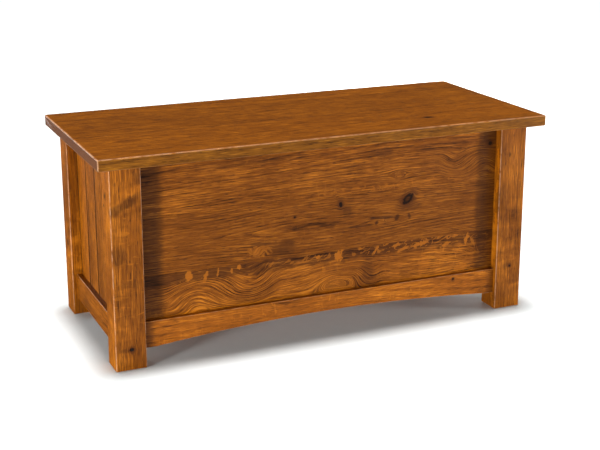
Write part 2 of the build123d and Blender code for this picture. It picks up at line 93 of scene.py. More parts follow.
class Tree:
    """Adds nodes to a node tree. Inputs may be numbers, vectors or other nodes' outputs."""

    def __init__(self, tree):
        self.tree = tree

    def feed(self, socket, value):
        if isinstance(value, bpy.types.NodeSocket):
            self.tree.links.new(value, socket)
        elif value is not None:
            socket.default_value = value

    def node(self, kind, inputs=None, **settings):
        new = self.tree.nodes.new(kind)
        for name, value in settings.items():
            setattr(new, name, value)
        for name, value in (inputs or {}).items():
            self.feed(new.inputs[name], value)
        return new

    def math(self, operation, a, b=None, c=None):
        new = self.node("ShaderNodeMath", operation=operation)
        for socket, value in zip(new.inputs, (a, b, c)):
            self.feed(socket, value)
        return new.outputs[0]

    def sway(self, start, *terms):
        """start plus weight * (value - 0.5) for each (weight, value)."""
        result = start
        for weight, value in terms:
            centred = self.math("SUBTRACT", value, 0.5)
            result = self.math("MULTIPLY_ADD", centred, weight, result)
        return result

    def vector(self, operation, a, b=None):
        new = self.node("ShaderNodeVectorMath", operation=operation)
        self.feed(new.inputs[0], a)
        self.feed(new.inputs[1], b)
        return new.outputs["Value" if operation in ("LENGTH", "DOT_PRODUCT") else "Vector"]

    def split(self, vector):
        return self.node("ShaderNodeSeparateXYZ", {"Vector": vector}).outputs

    def join(self, x, y, z):
        return self.node("ShaderNodeCombineXYZ", {"X": x, "Y": y, "Z": z}).outputs[0]

    def turn(self, vector, axis, angle):
        inputs = {"Vector": vector, "Axis": axis, "Angle": angle}
        return self.node("ShaderNodeVectorRotate", inputs, rotation_type="AXIS_ANGLE").outputs[0]

    def noise(self, vector, cells, detail=2.0, roughness=0.5, distortion=0.0):
        """Noise about 0.5; cells per metre along each axis."""
        inputs = {
            "Vector": self.vector("MULTIPLY", vector, cells),
            "Scale": 1.0,
            "Detail": detail,
            "Roughness": roughness,
            "Distortion": distortion,
        }
        return self.node("ShaderNodeTexNoise", inputs).outputs["Fac"]

    def step(self, value, low, high):
        """0 at low, 1 at high, eased between them; high may be below low."""
        inputs = {"Value": value, "From Min": low, "From Max": high}
        return self.node("ShaderNodeMapRange", inputs, interpolation_type="SMOOTHSTEP").outputs[0]

    def mix(self, factor, a, b, blend="MIX"):
        new = self.node("ShaderNodeMix", data_type="RGBA", blend_type=blend)
        for number, value in ((MIX_FACTOR, factor), (MIX_A, a), (MIX_B, b)):
            self.feed(new.inputs[number], value)
        return new.outputs[MIX_RESULT]

    def bump(self, height, strength, distance):
        new = self.node("ShaderNodeBump", {"Height": height})
        new.inputs["Strength"].default_value = strength
        new.inputs["Distance"].default_value = distance
        return new.outputs[0]

    def show(self, shader):
        self.feed(self.node("ShaderNodeOutputMaterial").inputs["Surface"], shader.outputs[0])


FLOAT, VECTOR, COLOUR = "NodeSocketFloat", "NodeSocketVector", "NodeSocketColor"


def new_group(name, inputs, outputs):
    """A node group with its Tree, its input sockets and its output node's inputs."""
    group = bpy.data.node_groups.new(name, "ShaderNodeTree")
    for label, kind, default in inputs:
        socket = group.interface.new_socket(label, in_out="INPUT", socket_type=kind)
        socket.default_value = default
    for label, kind in outputs:
        group.interface.new_socket(label, in_out="OUTPUT", socket_type=kind)
    tree = Tree(group)
    return group, tree, tree.node("NodeGroupInput").outputs, tree.node("NodeGroupOutput").inputs


def new_material(name):
    """A material with an empty node tree, and its Tree."""
    material = bpy.data.materials.new(name)
    material.use_nodes = True
    t = Tree(material.node_tree)
    t.tree.nodes.clear()
    return material, t


def srgb(red, green, blue):
    """A colour from 0-255 display values, as the linear one that shaders take."""
    def linear(value):
        value /= 255
        return value / 12.92 if value <= 0.04045 else ((value + 0.055) / 1.055) ** 2.4

    return (linear(red), linear(green), linear(blue), 1.0)


# -------------------------------- oak
def offset_and_distance(t, into):
    """The offset from a feature's centre, and its distance in the feature's own radii."""
    offset = t.vector("SUBTRACT", into["Point"], into["Centre"])
    turned = t.turn(offset, into["Axis"], into["Turn"])
    return offset, t.vector("LENGTH", t.vector("DIVIDE", turned, into["Radii"]))


FEATURE_INPUTS = [
    ("Point", VECTOR, (0, 0, 0)),
    ("Centre", VECTOR, (0, 0, 0)),
    ("Radii", VECTOR, (1, 1, 1)),
    ("Axis", VECTOR, (0, 1, 0)),
    ("Turn", FLOAT, 0.0),
    ("Strength", FLOAT, 1.0),
]
FEATURE_OUTPUTS = [("Shift", VECTOR), ("Distance", FLOAT)]


def make_bend_group():
    """Parts the grain round an ellipsoid, as it grows round a knot."""
    group, t, into, out = new_group("grain_round_a_knot", FEATURE_INPUTS, FEATURE_OUTPUTS)
    offset, distance = offset_and_distance(t, into)
    square = t.math("MAXIMUM", t.math("MULTIPLY", distance, distance), 0.35)
    pull = t.math("DIVIDE", t.math("MULTIPLY", into["Strength"], -1.0), square)
    t.feed(out["Shift"], t.vector("MULTIPLY", offset, t.join(0.0, pull, pull)))
    t.feed(out["Distance"], distance)
    return group


def make_twist_group():
    """Turns the grain round a point, most at its middle. Strength is the angle."""
    group, t, into, out = new_group("twisted_grain", FEATURE_INPUTS, FEATURE_OUTPUTS)
    offset, distance = offset_and_distance(t, into)
    angle = t.math("MULTIPLY", t.step(distance, 1.0, 0.15), into["Strength"])
    twisted = t.turn(offset, into["Axis"], angle)
    t.feed(out["Shift"], t.vector("SUBTRACT", twisted, offset))
    t.feed(out["Distance"], distance)
    return group


SAG_LIMIT = 18 * MM     # how far a bowed pith may leave its line


def make_oak_group():
    """Oak's colour, roughness and relief at a point of a board: X along the grain, in metres."""
    inputs = [
        ("Point", VECTOR, (0, 0, 0)),
        ("Seed", FLOAT, 0.0),
        ("Pith", VECTOR, (0, 0.05, 0)),
        ("Tilt", VECTOR, (0, 0.01, 0.01)),
        ("Bow", FLOAT, 0.0),
        ("Spacing", FLOAT, 0.0068),
        ("Rings", FLOAT, 0.5),
        ("Fibre", FLOAT, 1.0),
        ("Wander", FLOAT, 1.0),
        ("Curl", FLOAT, 0.5),
        ("Mottle", FLOAT, 0.5),
        ("Flecks", FLOAT, 0.3),
        ("Endness", FLOAT, 0.0),
        ("Dark", COLOUR, srgb(44, 18, 4)),
        ("Mid", COLOUR, srgb(116, 62, 14)),
        ("Light", COLOUR, srgb(186, 114, 36)),
    ]
    outputs = [("Colour", COLOUR), ("Roughness", FLOAT), ("Height", FLOAT)]
    group, t, into, out = new_group("oak", inputs, outputs)
    seeds = t.join(into["Seed"], into["Seed"], into["Seed"])
    place = t.vector("ADD", into["Point"], t.vector("MULTIPLY", seeds, (7.3, 3.1, 5.7)))

    # Growth rings: the distance from a pith that leans, bows and wanders along the board.
    along = t.math("SUBTRACT", t.split(into["Point"])[X], t.split(into["Pith"])[X])
    lean = t.vector("MULTIPLY", t.join(along, along, along), into["Tilt"])
    wide, narrow = (t.math("MULTIPLY", into["Wander"], size) for size in (0.022, 0.014))
    wander_u = t.math("MULTIPLY", t.noise(place, (1.7, 9, 9)), wide)
    wander_v = t.math("MULTIPLY", t.noise(place, (2.3, 12, 7)), narrow)
    from_pith = t.vector("SUBTRACT", into["Point"], into["Pith"])
    from_pith = t.vector("ADD", t.vector("ADD", from_pith, lean), t.join(0.0, wander_u, wander_v))
    across = t.vector("MULTIPLY", from_pith, (0, 1, 1))
    sag = t.math("MULTIPLY", t.math("MULTIPLY", along, along), into["Bow"])
    sag = t.math("MULTIPLY", t.math("TANH", t.math("DIVIDE", sag, SAG_LIMIT)), SAG_LIMIT)
    ripple_size = t.math("MULTIPLY_ADD", into["Wander"], 0.0030, 0.0010)
    ripple = t.math("MULTIPLY", t.noise(place, (14, 60, 60), detail=4, roughness=0.6), ripple_size)
    reach = t.math("ADD", t.math("SUBTRACT", t.vector("LENGTH", across), sag), ripple)
    count = t.math("DIVIDE", reach, into["Spacing"])
    uneven = t.noise(t.join(count, into["Seed"], 0.0), (0.45, 1, 1), detail=1)
    phase = t.math("FRACT", t.math("MULTIPLY_ADD", uneven, 2.2, count))
    ragged_phase = t.sway(phase, (0.5, t.noise(place, (30, 200, 200), detail=2)))
    fade = t.math("SUBTRACT", 1.0, t.step(ragged_phase, 0.12, 0.52))
    ring = t.math("MULTIPLY", t.step(phase, 0.0, 0.06), fade)

    # Fibres and open pores run along the grain; curl and rays cross it.
    fibre = t.noise(place, (24, 800, 800), detail=2, roughness=0.5)
    vein = t.noise(place, (8, 260, 260), detail=2, roughness=0.6)
    vein = t.step(t.math("ABSOLUTE", t.math("SUBTRACT", vein, 0.5)), 0.06, 0.01)
    hair = t.noise(place, (30, 800, 800), detail=1)
    broken = t.step(t.noise(place, (18, 170, 170), detail=2), 0.38, 0.62)
    clear = t.step(t.noise(place, (5, 24, 24), detail=2), 0.36, 0.62)
    seen = t.math("MULTIPLY", t.math("MULTIPLY_ADD", broken, 0.75, 0.25), clear)
    ring = t.math("MULTIPLY", ring, t.math("MULTIPLY_ADD", seen, 0.85, 0.15))
    dashes = t.step(t.noise(place, (55, 420, 420), detail=1), 0.57, 0.70)
    pores = t.step(t.noise(place, (40, 1300, 1300), detail=1), 0.58, 0.70)
    pore = t.math("MAXIMUM", dashes, t.math("MULTIPLY", pores, 0.6))
    pore = t.math("MULTIPLY", pore, t.math("MULTIPLY_ADD", ring, 0.5, 0.6))
    cloud = t.noise(place, (4.5, 11, 11), detail=3)
    streak = t.noise(place, (2.2, 42, 42), detail=2)
    curl_bands = t.noise(place, (48, 20, 20), detail=2, distortion=0.5)
    curl_patch = t.step(t.noise(place, (5, 9, 9), detail=1), 0.42, 0.66)
    curl = t.math("MULTIPLY", t.math("SUBTRACT", curl_bands, 0.5), curl_patch)
    ray_noise = t.noise(place, (120, 30, 30), detail=1, distortion=1.0)
    ray_patch = t.step(t.noise(place, (6, 14, 14), detail=1), 0.50, 0.70)
    ray = t.math("MULTIPLY", t.step(ray_noise, 0.62, 0.70), ray_patch)
    ray = t.math("MULTIPLY", ray, into["Flecks"])

    threads = t.sway(0.0, (1.3, fibre), (0.40, hair), (0.18, streak))
    tone = t.math("MULTIPLY_ADD", threads, into["Fibre"], 0.61)
    tone = t.math("ADD", tone, t.math("MULTIPLY", curl, into["Curl"]))
    tone = t.math("ADD", tone, t.math("MULTIPLY", t.math("SUBTRACT", cloud, 0.5), into["Mottle"]))
    tone = t.math("SUBTRACT", tone, t.math("MULTIPLY", ring, into["Rings"]))
    tone = t.math("SUBTRACT", tone, t.math("MULTIPLY", vein, t.math("MULTIPLY", into["Fibre"], 0.18)))
    tone = t.math("SUBTRACT", tone, t.math("MULTIPLY", into["Endness"], 0.16))
    deep = t.mix(t.step(tone, 0.0, 0.5), into["Dark"], into["Mid"])
    surface = t.mix(t.step(tone, 0.5, 1.0), deep, into["Light"])
    surface = t.mix(t.math("MULTIPLY", ray, 0.75), surface, into["Light"])
    surface = t.mix(t.math("MULTIPLY", pore, 0.7), surface, into["Dark"])
    t.feed(out["Colour"], surface)
    t.feed(out["Roughness"], t.sway(0.44, (0.14, fibre), (0.25, pore), (-0.10, ray)))
    height = t.sway(0.5, (0.5, fibre), (-1.2, pore), (-0.35, ring), (0.6, curl_bands))
    t.feed(out["Height"], height)
    return group


BEND = make_bend_group()
TWIST = make_twist_group()
OAK = make_oak_group()

# How a grain axis turns row coordinates into a board's own: along the grain, then the other two.
ORDER = {X: (X, Y, Z), Y: (Y, X, Z), Z: (Z, X, Y)}


def local(vector, grain):
    return Vector([vector[axis] for axis in ORDER[grain]])


class Feature:
    """A mark in a board. Centre and radii are in row axes; turn is an angle about facing."""

    def __init__(self, kind, centre, radii, facing=Y, turn=0.0, strength=1.0, slant=0.0, heart=0.0):
        self.kind = kind
        self.centre = Vector(centre)
        self.radii = Vector(radii)
        self.facing = facing
        self.turn = turn
        self.strength = strength
        self.slant = slant
        self.heart = heart


def knot(centre, radii, **settings):
    """A dark knot with the grain parting round it. heart is how much paler its middle is."""
    return Feature("knot", centre, radii, **settings)


def swirl(centre, radii, **settings):
    """Grain parting round a knot that lies under the surface."""
    return Feature("swirl", centre, radii, **settings)


def twist(centre, radii, angle, **settings):
    """Grain that turns away from the board's direction."""
    return Feature("twist", centre, radii, strength=angle, **settings)


def fleck(centre, radii, strength=0.75, **settings):
    """A pale ray fleck."""
    return Feature("fleck", centre, radii, strength=strength, **settings)


def curls(centre, radii, slant, strength=0.75, **settings):
    """A field of small curly ray flecks that lean by slant."""
    return Feature("curls", centre, radii, slant=slant, strength=strength, **settings)


def stain_and_painted_shade(centre, radii, strength=0.5, **settings):
    """A darker place: stain that soaked in darker, and painted shade where it is laid below the lid.
    """
    return Feature("stain_and_painted_shade", centre, radii, strength=strength, **settings)


CORE_COLOUR = srgb(20, 11, 7)
HALO_COLOUR = srgb(64, 30, 10)
STAIN_AND_SHADE_COLOUR = srgb(46, 22, 8)
FLECK_COLOUR = srgb(178, 100, 10)
# Pale rounded edges: partly rubbed wear, partly painted highlight.
WORN_AND_HIGHLIGHT_COLOUR = srgb(214, 168, 130)
END_COLOUR = srgb(92, 52, 32)


def stained(lightness):
    """The chest's brown stain, lighter or darker than usual."""
    colours = {"dark": srgb(42, 18, 3), "mid": srgb(118, 62, 4), "light": srgb(187, 110, 18)}
    return {
        label: (*[min(1.0, channel * lightness) for channel in colour[:3]], 1.0)
        for label, colour in colours.items()
    }


# Darker stain in the joints between boards, and painted shade in recesses and under the lid.
JOINT_AND_PAINTED_SHADE_COLOUR = srgb(30, 14, 5)
PAINTED_SHADE_STRENGTH = 0.38
PAINTED_SHADE_BLUR = 8 * MM
SEAM_AND_SHADE_WIDTH = 6 * MM
SEAM_AND_SHADE_STRENGTH = 0.85
FAR_OFF = -1.0          # a place outside the chest, for a board with a joint on one side only


def oak(name, grain, seed, features=(), centre=(0, 0, 0), pith=(0, 0.05, 0), lightness=1.0,
        painted_shade_at=0.0, painted_side_shade=None, seams_and_painted_shade=None, **settings):
    """An oak material for one board. Pith is in the board's own axes, from its centre.

    After lightness come three optional marks. The first is how far from the middle of the chest a band
    of painted shade darkens the recess beside a post. The second multiplies the colour of the faces
    that look neither up nor down: painted shade, darker than a top lit from above. The third is an
    axis, two places on it and how wide a darker band shows by each: stain left in the joint with a
    neighbour, and painted shade where a place is the lid's underside.
    """
    material, t = new_material(name)
    coordinates = t.node("ShaderNodeTexCoord").outputs
    raw = t.split(t.vector("SUBTRACT", coordinates["Object"], centre))
    point = t.join(*[raw[axis] for axis in ORDER[grain]])
    wobble = t.noise(coordinates["Object"], (170, 170, 170), detail=2)
    smudge = t.noise(coordinates["Object"], (45, 45, 45), detail=3)
    grain_point = point
    core, halo, light, dark = 0.0, 0.0, 0.0, 0.0
    for feature in features:
        facing = local([float(axis == feature.facing) for axis in (X, Y, Z)], grain)
        inputs = {
            "Point": point,
            "Centre": local(feature.centre - Vector(centre), grain),
            "Radii": local(feature.radii, grain),
            "Axis": facing,
            "Turn": feature.turn,
            "Strength": feature.strength,
        }
        bends = TWIST if feature.kind == "twist" else BEND
        group = t.node("ShaderNodeGroup", inputs, node_tree=bends)
        distance = group.outputs["Distance"]
        if feature.kind in ("knot", "swirl", "twist"):
            grain_point = t.vector("ADD", grain_point, group.outputs["Shift"])
        if feature.kind == "knot":
            ragged = t.sway(distance, (0.8, wobble))
            paler = t.math("MULTIPLY", t.step(distance, 0.6, 0.2), feature.heart)
            core = t.math("MAXIMUM", t.math("SUBTRACT", t.step(ragged, 1.05, 0.8), paler), core)
            halo = t.math("MAXIMUM", t.step(ragged, 2.6, 0.9), halo)
        elif feature.kind == "fleck":
            ragged = t.sway(distance, (2.4, wobble))
            amount = t.math("MULTIPLY", t.step(ragged, 1.15, 0.75), feature.strength)
            light = t.math("MAXIMUM", amount, light)
        elif feature.kind == "curls":
            leaning = t.turn(point, facing, feature.slant)
            waves = t.noise(leaning, (20, 55, 55), detail=1, distortion=1.2)
            curl = t.step(t.math("ABSOLUTE", t.math("SUBTRACT", waves, 0.5)), 0.042, 0.018)
            inside = t.step(t.sway(distance, (1.6, smudge)), 1.1, 0.8)
            amount = t.math("MULTIPLY", t.math("MULTIPLY", inside, curl), feature.strength)
            light = t.math("MAXIMUM", amount, light)
        elif feature.kind == "stain_and_painted_shade":
            ragged = t.sway(distance, (1.6, smudge))
            amount = t.math("MULTIPLY", t.step(ragged, 1.3, 0.5), feature.strength)
            dark = t.math("MAXIMUM", amount, dark)
    inputs = {"Point": grain_point, "Seed": float(seed), "Pith": pith}
    figure = t.node("ShaderNodeGroup", inputs, node_tree=OAK)
    for label, value in {**stained(lightness), **settings}.items():
        t.feed(figure.inputs[label.capitalize()], value)
    faces = t.vector("ABSOLUTE", coordinates["Normal"])
    end = t.step(t.split(faces)[grain], 0.5, 0.85)
    t.feed(figure.inputs["Endness"], end)
    surface = figure.outputs["Colour"]
    surface = t.mix(t.math("MULTIPLY", end, 0.7), surface, END_COLOUR)
    # Painted shade: upright faces darker and greyer than the top, which the light from above falls on.
    if painted_side_shade:
        rise = t.split(coordinates["Normal"])[Z]
        upright = t.math("MULTIPLY", t.step(rise, 0.7, 0.3), t.step(rise, -0.95, -0.8))
        surface = t.mix(upright, surface, painted_side_shade, "MULTIPLY")
    # Darker stain, and painted shade from the bands laid just under the lid.
    if dark:
        surface = t.mix(dark, surface, t.mix(0.75, surface, STAIN_AND_SHADE_COLOUR))
    if light:
        surface = t.mix(light, surface, t.mix(0.3, FLECK_COLOUR, surface))
    if halo:
        surface = t.mix(t.math("MULTIPLY", halo, 0.6), surface, HALO_COLOUR)
        surface = t.mix(t.math("MULTIPLY", core, 0.95), surface, CORE_COLOUR)
    # Painted shade: a darker band in the recess beside each post, where the post shades the board.
    if painted_shade_at:
        sideways = t.math("ABSOLUTE", t.split(coordinates["Object"])[X])
        sideways = t.sway(sideways, (2 * PAINTED_SHADE_BLUR, smudge))
        shade = t.step(sideways, painted_shade_at - PAINTED_SHADE_BLUR, painted_shade_at + PAINTED_SHADE_BLUR)
        surface = t.mix(t.math("MULTIPLY", shade, PAINTED_SHADE_STRENGTH), surface, JOINT_AND_PAINTED_SHADE_COLOUR)
    # A darker band: stain left in a joint with a neighbour, and painted shade where the band lies
    # under the lid.
    if seams_and_painted_shade:
        axis, first, last, width = seams_and_painted_shade
        place = t.split(coordinates["Object"])[axis]
        near = t.math("MINIMUM", t.math("SUBTRACT", place, first), t.math("SUBTRACT", last, place))
        shade = t.step(t.sway(near, (0.25 * width, smudge)), width, 0.4 * width)
        surface = t.mix(t.math("MULTIPLY", shade, SEAM_AND_SHADE_STRENGTH), surface, JOINT_AND_PAINTED_SHADE_COLOUR)
    # Pale rounded edges: partly rubbed wear, partly painted highlight.
    edge = t.node("ShaderNodeAttribute", attribute_name="edge").outputs["Fac"]
    worn_and_highlight_noise = t.noise(coordinates["Object"], (60, 60, 60), detail=3)
    worn_and_highlight = t.math("MULTIPLY", edge, t.step(worn_and_highlight_noise, 0.25, 0.6))
    surface = t.mix(t.math("MULTIPLY", worn_and_highlight, 0.42), surface, WORN_AND_HIGHLIGHT_COLOUR)
    shader = t.node("ShaderNodeBsdfPrincipled")
    shader.inputs["Specular IOR Level"].default_value = 0.2
    t.feed(shader.inputs["Base Color"], surface)
    t.feed(shader.inputs["Roughness"], figure.outputs["Roughness"])
    t.feed(shader.inputs["Normal"], t.bump(figure.outputs["Height"], 0.35, 0.25 * MM))
    shader.inputs["Coat Weight"].default_value = 0.08
    shader.inputs["Coat Roughness"].default_value = 0.22
    t.show(shader)
    return material


# -------------------------------- board meshes
ARC_STEPS = 4           # of a rounded edge
CELL = 14 * MM          # the mesh's usual spacing
SUPPORT = 0.7 * MM      # from an edge to the mesh line that keeps it crisp
SAME_PLACE = 0.02 * MM  # closer sections than this are one
SHARP_ANGLE = math.radians(38)


class Dent:
    """A hollow pressed into a board's surface round a centre."""

    def __init__(self, centre, radii, depth):
        self.centre = Vector(centre)
        self.radii = Vector(radii)
        self.depth = depth

    def at(self, point):
        offset = point - self.centre
        distance = Vector([o / r for o, r in zip(offset, self.radii)]).length
        return self.depth * max(0.0, 1.0 - distance**2) ** 1.5


def cuts(low, high, dents, axis):
    """Fractions from low to high for a side's mesh lines, closer together across a dent."""
    length = high - low
    places = [low + SUPPORT, high - SUPPORT]
    count = max(1, round(length / CELL))
    places += [low + length * i / count for i in range(1, count)]
    for dent in dents:
        centre, radius = dent.centre[axis], dent.radii[axis]
        near = [centre + radius * 1.1 * i / 8 for i in range(-8, 9)]
        places = [p for p in places if not near[0] <= p <= near[-1]] + near
    inside = sorted(p for p in places if low + 0.5 * SUPPORT < p < high - 0.5 * SUPPORT)
    return [(p - low) / length for p in inside]


def outline(low, high, radii, steps, side_cuts, worn_and_highlight):
    """A rounded rectangle as (u, v, normal u, normal v, edge weight), anticlockwise."""
    corners = [(low[0], low[1]), (high[0], low[1]), (high[0], high[1]), (low[0], high[1])]
    points = []
    for k, (corner, radius) in enumerate(zip(corners, radii)):
        centre_u = corner[0] + (radius if k in (0, 3) else -radius)
        centre_v = corner[1] + (radius if k in (0, 1) else -radius)
        arc = []
        for i in range(steps[k] + 1):
            share = i / steps[k]
            angle = math.pi * (1 + (k + share) / 2)
            normal = (math.cos(angle), math.sin(angle))
            weight = worn_and_highlight[k] * math.sin(math.pi * share) if steps[k] > 1 else 0.0
            u, v = centre_u + radius * normal[0], centre_v + radius * normal[1]
            arc.append((u, v, *normal, weight))
        points.append(arc)
    loop = []
    for k in range(4):
        loop += points[k]
        start, end = points[k][-1], points[(k + 1) % 4][0]
        fractions = side_cuts[k % 2]
        if k > 1:
            fractions = [1 - f for f in reversed(fractions)]
        for f in fractions:
            u = start[0] + (end[0] - start[0]) * f
            v = start[1] + (end[1] - start[1]) * f
            loop.append((u, v, start[2], start[3], 0.0))
    return loop


def finish_mesh(name, bm, material, edge_weights):
    """A smooth-shaded object from a closed bmesh."""
    mesh = bpy.data.meshes.new(name)
    bmesh.ops.recalc_face_normals(bm, faces=bm.faces)
    bm.to_mesh(mesh)
    bm.free()
    attribute = mesh.attributes.new("edge", "FLOAT", "POINT")
    attribute.data.foreach_set("value", edge_weights)
    mesh.polygons.foreach_set("use_smooth", [True] * len(mesh.polygons))
    mesh.set_sharp_from_angle(angle=SHARP_ANGLE)
    mesh.materials.append(material)
    piece = bpy.data.objects.new(name, mesh)
    bpy.context.scene.collection.objects.link(piece)
    return piece


def relief(point):
    """How far the hand-sanded surface lies below its flat, at a point."""
    broad = 0.5 + 0.5 * noise.noise(point * 9.0)
    small = 0.5 + 0.5 * noise.noise(point * 55.0)
    return (0.16 * broad + 0.05 * small) * MM


def side_share(tight, nu, nv):
    """How much a section's normal faces one of the sides that stay flat."""
    facing = (-nv, nu, nv, -nu)
    return max([max(f, 0.0) for f, flat in zip(facing, tight) if flat], default=0.0)


def stations(low, high, ends, end_round, dents, grain):
    """Places along a board as (place, inset on soft sides, inset all round, edge weight)."""
    arc = []
    for i in range(ARC_STEPS + 1):
        angle = math.pi / 2 * i / ARC_STEPS
        arc.append((end_round * (1 - math.cos(angle)), end_round * (1 - math.sin(angle)),
                    math.sin(2 * angle)))
    places = [(low, end_round * ends[0], SUPPORT, 0.0)]
    places += [(low + ends[0] * d, ends[0] * e, 0.0, w * bool(ends[0])) for d, e, w in arc]
    start, end = low + end_round, high - end_round
    places += [(start + f * (end - start), 0.0, 0.0, 0.0) for f in cuts(start, end, dents, grain)]
    places += [(high - ends[1] * d, ends[1] * e, 0.0, w * bool(ends[1])) for d, e, w in reversed(arc)]
    places.append((high, end_round * ends[1], SUPPORT, 0.0))
    return places


def board(name, material, grain=X, body="carcass", slot="stained_oak", low=None, high=None,
          radii=(0.4, 0.4, 0.4, 0.4), steps=(ARC_STEPS,) * 4, soft=(0, 0, 0, 0), tight=(0, 0, 0, 0),
          ends=(0, 0), end_round=2.0, dents=(), arch=None, worn_and_highlight=(1, 1, 1, 1)):
    """A board lofted along its grain between two corners, by default those of its CAD node.

    Its section runs from low u, low v to high u, high v. radii and steps shape the section's
    corners, anticlockwise. soft and tight pick sides of the section in the order low v, high u,
    high v, low u: soft ones curve in at the ends, tight ones stay flat for a joint. ends scales
    the rounding of the two ends. The last argument is how pale each of the section's corners is:
    partly rubbed wear and partly a painted highlight.
    Millimetres for radii and end_round.
    """
    box_low, box_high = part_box(name)
    low = local(low or box_low, grain)
    high = local(high or box_high, grain)
    u_axis, v_axis = ORDER[grain][1:]
    side_cuts = (cuts(low[1], high[1], dents, u_axis), cuts(low[2], high[2], dents, v_axis))
    bm = bmesh.new()
    weights = []
    rows = []
    last, last_full = None, False
    sections = stations(low[0], high[0], ends, end_round * MM, dents, grain)
    for place, inset, all_round, end_weight in sections:
        full = not all_round
        if full and last_full and place - last < SAME_PLACE:
            continue
        last, last_full = place, full
        insets = [inset * s + all_round for s in soft]
        section_low = (low[1] + insets[3], low[2] + insets[0] + (arch(place) if arch else 0.0))
        section_high = (high[1] - insets[1], high[2] - insets[2])
        section_radii = [max(r * MM - inset * max(soft), 0.1 * MM) for r in radii]
        row = []
        section = outline(section_low, section_high, section_radii, steps, side_cuts, worn_and_highlight)
        for u, v, nu, nv, weight in section:
            point = Vector((0, 0, 0))
            point[grain], point[u_axis], point[v_axis] = place, u, v
            normal = Vector((0, 0, 0))
            normal[u_axis], normal[v_axis] = nu, nv
            depth = relief(point) * (1 - side_share(tight, nu, nv))
            depth += sum(dent.at(point) for dent in dents)
            row.append(bm.verts.new(point - normal * depth))
            round_end = end_weight * side_share(soft, nu, nv)
            weights.append(max(weight, round_end) if full else 0.0)
        rows.append(row)
    for first, second in zip(rows, rows[1:]):
        for i in range(len(first)):
            j = (i + 1) % len(first)
            bm.faces.new((first[i], first[j], second[j], second[i]))
    bm.faces.new(rows[0])
    bm.faces.new(rows[-1])
    piece = finish_mesh(f"{name}_wood", bm, material, weights)
    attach(piece, body)
    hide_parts(name)
    return piece


# -------------------------------- the boards' places
post_low, post_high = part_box("front_right_post")
inner_x, inner_front = post_low[X], post_high[Y]
inner_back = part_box("back_right_post")[0][Y]
rail_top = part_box("front_arched_rail")[1][Z]
lid_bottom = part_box("lid_back_board")[0][Z]
HIDDEN = 2 * MM         # how far a rail's shown wood runs on into the posts
SQUARE_EDGE = 0.3       # millimetres, as board() takes them
VEE_EDGE = 3.0
usual_figure = dict(rings=0.4, curl=0.3, mottle=0.7, flecks=0.3)
jointed = dict(steps=(1,) * 4, tight=(1, 0, 1, 0))    # plain bevels, and two flat sides


# -------------------------------- posts
POST_FACE = -216        # millimetres, as mm() takes them
PANEL_FACE = -192


def mm(*values):
    return Vector(values) * MM


def post_at(x, z):
    return mm(x, POST_FACE, z)


def panel_at(x, z):
    return mm(x, PANEL_FACE, z)


post_hole = post_at(-492, 50)
post_features = {
    "front_left": [
        knot(post_hole, mm(5.5, 14, 5)),
        stain_and_painted_shade(post_at(-510, 49), mm(15, 20, 6), 0.6),
        stain_and_painted_shade(post_at(-498, 388), mm(44, 30, 11), 0.75, turn=0.5),
        stain_and_painted_shade(post_at(-514, 268), mm(20, 30, 22), 0.5),
        stain_and_painted_shade(post_at(-464, 456), mm(16, 30, 15), 0.5),
        stain_and_painted_shade(post_at(-490, 205), mm(20, 30, 10), 0.3),
        fleck(post_at(-485, 418), mm(22, 30, 12), 0.25, turn=0.3),
        fleck(post_at(-478, 330), mm(20, 30, 28), 0.2),
        knot(mm(-530, -176, 402), mm(8, 4, 5), facing=X),
        knot(mm(-530, -166, 378), mm(8, 3, 4), facing=X),
    ],
    "front_right": [
        stain_and_painted_shade(post_at(484, 404), mm(2.5, 10, 8), 0.9),
        knot(post_at(498, 112), mm(3, 10, 3.5)),
        stain_and_painted_shade(post_at(490, 114), mm(14, 20, 9), 0.4),
        stain_and_painted_shade(post_at(470, 300), mm(14, 20, 30), 0.25),
        fleck(mm(458, -206, 386), mm(4, 5, 34), 0.9, facing=X, turn=0.12),
        fleck(mm(458, -205, 322), mm(4, 5, 16), 0.8, facing=X, turn=-0.2),
        fleck(mm(458, -206, 232), mm(4, 6, 26), 0.9, facing=X, turn=0.15),
        fleck(mm(458, -206, 152), mm(4, 5, 22), 0.7, facing=X, turn=-0.1),
    ],
    "back_left": [knot(mm(-530, 207, 181), mm(12, 5, 6), facing=X)],
    "back_right": [],
}
post_dents = {"front_left": [Dent(post_hole, mm(3.2, 3.0, 3.6), 2.0 * MM)]}
post_pith = {
    "front_left": (0.1, 0.052, 0.031),
    "front_right": (-0.1, -0.060, 0.040),
    "back_left": (0.0, 0.050, -0.035),
    "back_right": (0.1, -0.045, -0.050),
}
for number, (corner, features) in enumerate(post_features.items()):
    name = f"{corner}_post"
    box_low, box_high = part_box(name)
    centre = (box_low + box_high) / 2
    material = oak(
        f"oak_{name}", Z, 11 + number, features, centre, post_pith[corner],
        lightness=1.05 if corner.startswith("front") else 1.0, bow=0.1, tilt=(0, 0.01, -0.015),
        rings=0.2, fibre=0.8, wander=0.8, curl=0.8, mottle=0.9, flecks=0.4,
    )
    board(
        name, material, Z, radii=(2.5,) * 4, soft=(1, 1, 1, 1), ends=(1, 0.3), end_round=1.5,
        dents=post_dents.get(corner, []),
    )


# -------------------------------- rails
arch_rise = 21 * MM
arch_half_span = 430 * MM
arch_radius = (arch_half_span**2 + arch_rise**2) / (2 * arch_rise)


def arch(x):
    if abs(x) >= arch_half_span:
        return 0.0
    return math.sqrt(arch_radius**2 - x * x) - (arch_radius - arch_rise)


rail_low, rail_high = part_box("front_arched_rail")
rail_centre = (rail_low + rail_high) / 2
